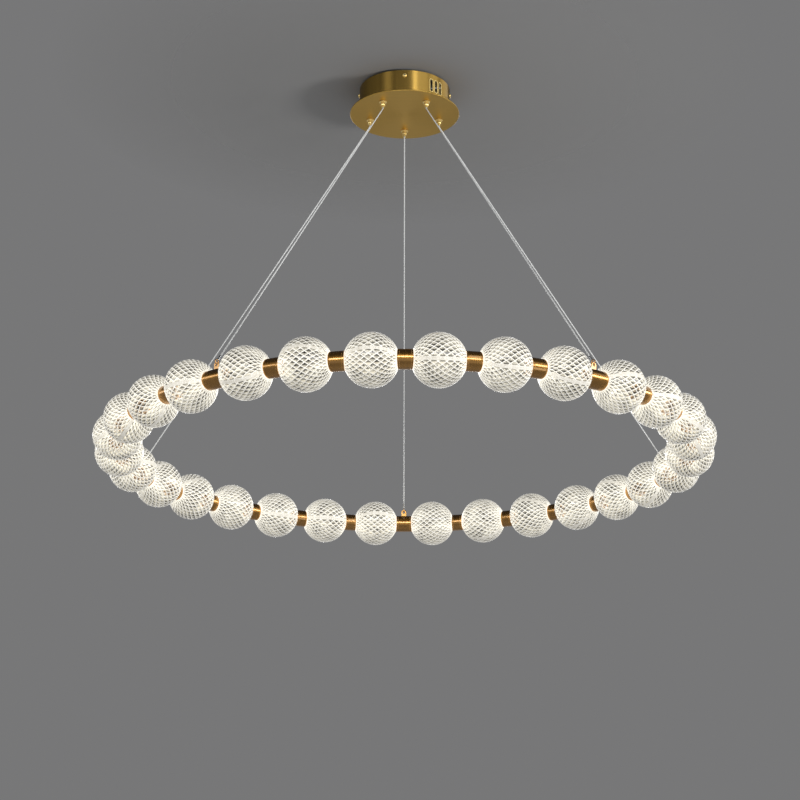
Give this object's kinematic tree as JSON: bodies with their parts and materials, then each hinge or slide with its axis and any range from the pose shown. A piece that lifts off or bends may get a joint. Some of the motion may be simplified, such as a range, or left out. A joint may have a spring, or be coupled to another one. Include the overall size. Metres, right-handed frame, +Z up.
{
  "type": "ring chandelier",
  "caption": "Round pendant chandelier: a lit ring of faceted clear balls and brass spacers, hung from a drum canopy by slanted cables with push-to-release height grippers.",
  "frame": {"origin": "centre of the bracket's top face, on the ceiling, between its two ceiling screws", "axes": "+Z up along the lamp's vertical axis; the lamp hangs towards -Z; -Y is the near side of the picture and one of the five cables lies in the +Y direction; +X is to the right"},
  "size_m": [1, 0.9941, 0.687],
  "materials": {
    "clear_acrylic": "clear, diamond-cut",
    "satin_brass": "satin brushed",
    "zinc_steel": "zinc plated",
    "core_aluminium": "mill",
    "light_strip": "diffusing silicone, lit warm white",
    "cable": "fine stranded steel in a clear sheath",
    "driver_white": "matt",
    "driver_grey": "matt",
    "terminal_white": "matt"
  },
  "bodies": {
    "canopy": {"mounting_bracket": "zinc_steel", "canopy_drum": "satin_brass", "canopy_disc": "satin_brass", "canopy_side_screws": "satin_brass", "driver_case": "driver_white", "driver_end_covers": "driver_grey", "terminal_block": "terminal_white", "gripper_barrels": "satin_brass", "gripper_nuts": "zinc_steel", "suspension_cable_1": "cable", "suspension_cable_2": "cable", "suspension_cable_3": "cable", "suspension_cable_4": "cable", "suspension_cable_5": "cable"},
    "ring": {"ball_01": "clear_acrylic", "ball_02": "clear_acrylic", "ball_03": "clear_acrylic", "ball_04": "clear_acrylic", "ball_05": "clear_acrylic", "ball_06": "clear_acrylic", "ball_07": "clear_acrylic", "ball_08": "clear_acrylic", "ball_09": "clear_acrylic", "ball_10": "clear_acrylic", "ball_11": "clear_acrylic", "ball_12": "clear_acrylic", "ball_13": "clear_acrylic", "ball_14": "clear_acrylic", "ball_15": "clear_acrylic", "ball_16": "clear_acrylic", "ball_17": "clear_acrylic", "ball_18": "clear_acrylic", "ball_19": "clear_acrylic", "ball_20": "clear_acrylic", "ball_21": "clear_acrylic", "ball_22": "clear_acrylic", "ball_23": "clear_acrylic", "ball_24": "clear_acrylic", "ball_25": "clear_acrylic", "ball_26": "clear_acrylic", "ball_27": "clear_acrylic", "ball_28": "clear_acrylic", "ball_29": "clear_acrylic", "ball_30": "clear_acrylic", "plain_spacers": "satin_brass", "hanger_spacer_1": "satin_brass", "hanger_spacer_2": "satin_brass", "hanger_spacer_3": "satin_brass", "hanger_spacer_4": "satin_brass", "hanger_spacer_5": "satin_brass", "core_bar_right": "core_aluminium", "core_bar_left": "core_aluminium", "core_joiners": "zinc_steel", "light_strips": "light_strip", "cable_terminals": "satin_brass"},
    "plunger_1": {"gripper_plunger_1": "satin_brass"},
    "plunger_2": {"gripper_plunger_2": "satin_brass"},
    "plunger_3": {"gripper_plunger_3": "satin_brass"},
    "plunger_4": {"gripper_plunger_4": "satin_brass"},
    "plunger_5": {"gripper_plunger_5": "satin_brass"}
  },
  "joints": [
    {"name": "height_adjust", "type": "slide", "parent": "canopy", "child": "ring", "axis": [0, 0, 1], "range_m": [0, 0.35], "deforming": ["suspension_cable_1", "suspension_cable_2", "suspension_cable_3", "suspension_cable_4", "suspension_cable_5"]},
    {"name": "gripper_press_1", "type": "slide", "parent": "canopy", "child": "plunger_1", "axis": [0, 0, 1], "range_m": [0, 0.002], "stiffness_N_per_m": 400, "springref_m": -0.004},
    {"name": "gripper_press_2", "type": "slide", "parent": "canopy", "child": "plunger_2", "axis": [0, 0, 1], "range_m": [0, 0.002], "stiffness_N_per_m": 400, "springref_m": -0.004},
    {"name": "gripper_press_3", "type": "slide", "parent": "canopy", "child": "plunger_3", "axis": [0, 0, 1], "range_m": [0, 0.002], "stiffness_N_per_m": 400, "springref_m": -0.004},
    {"name": "gripper_press_4", "type": "slide", "parent": "canopy", "child": "plunger_4", "axis": [0, 0, 1], "range_m": [0, 0.002], "stiffness_N_per_m": 400, "springref_m": -0.004},
    {"name": "gripper_press_5", "type": "slide", "parent": "canopy", "child": "plunger_5", "axis": [0, 0, 1], "range_m": [0, 0.002], "stiffness_N_per_m": 400, "springref_m": -0.004}
  ]
}
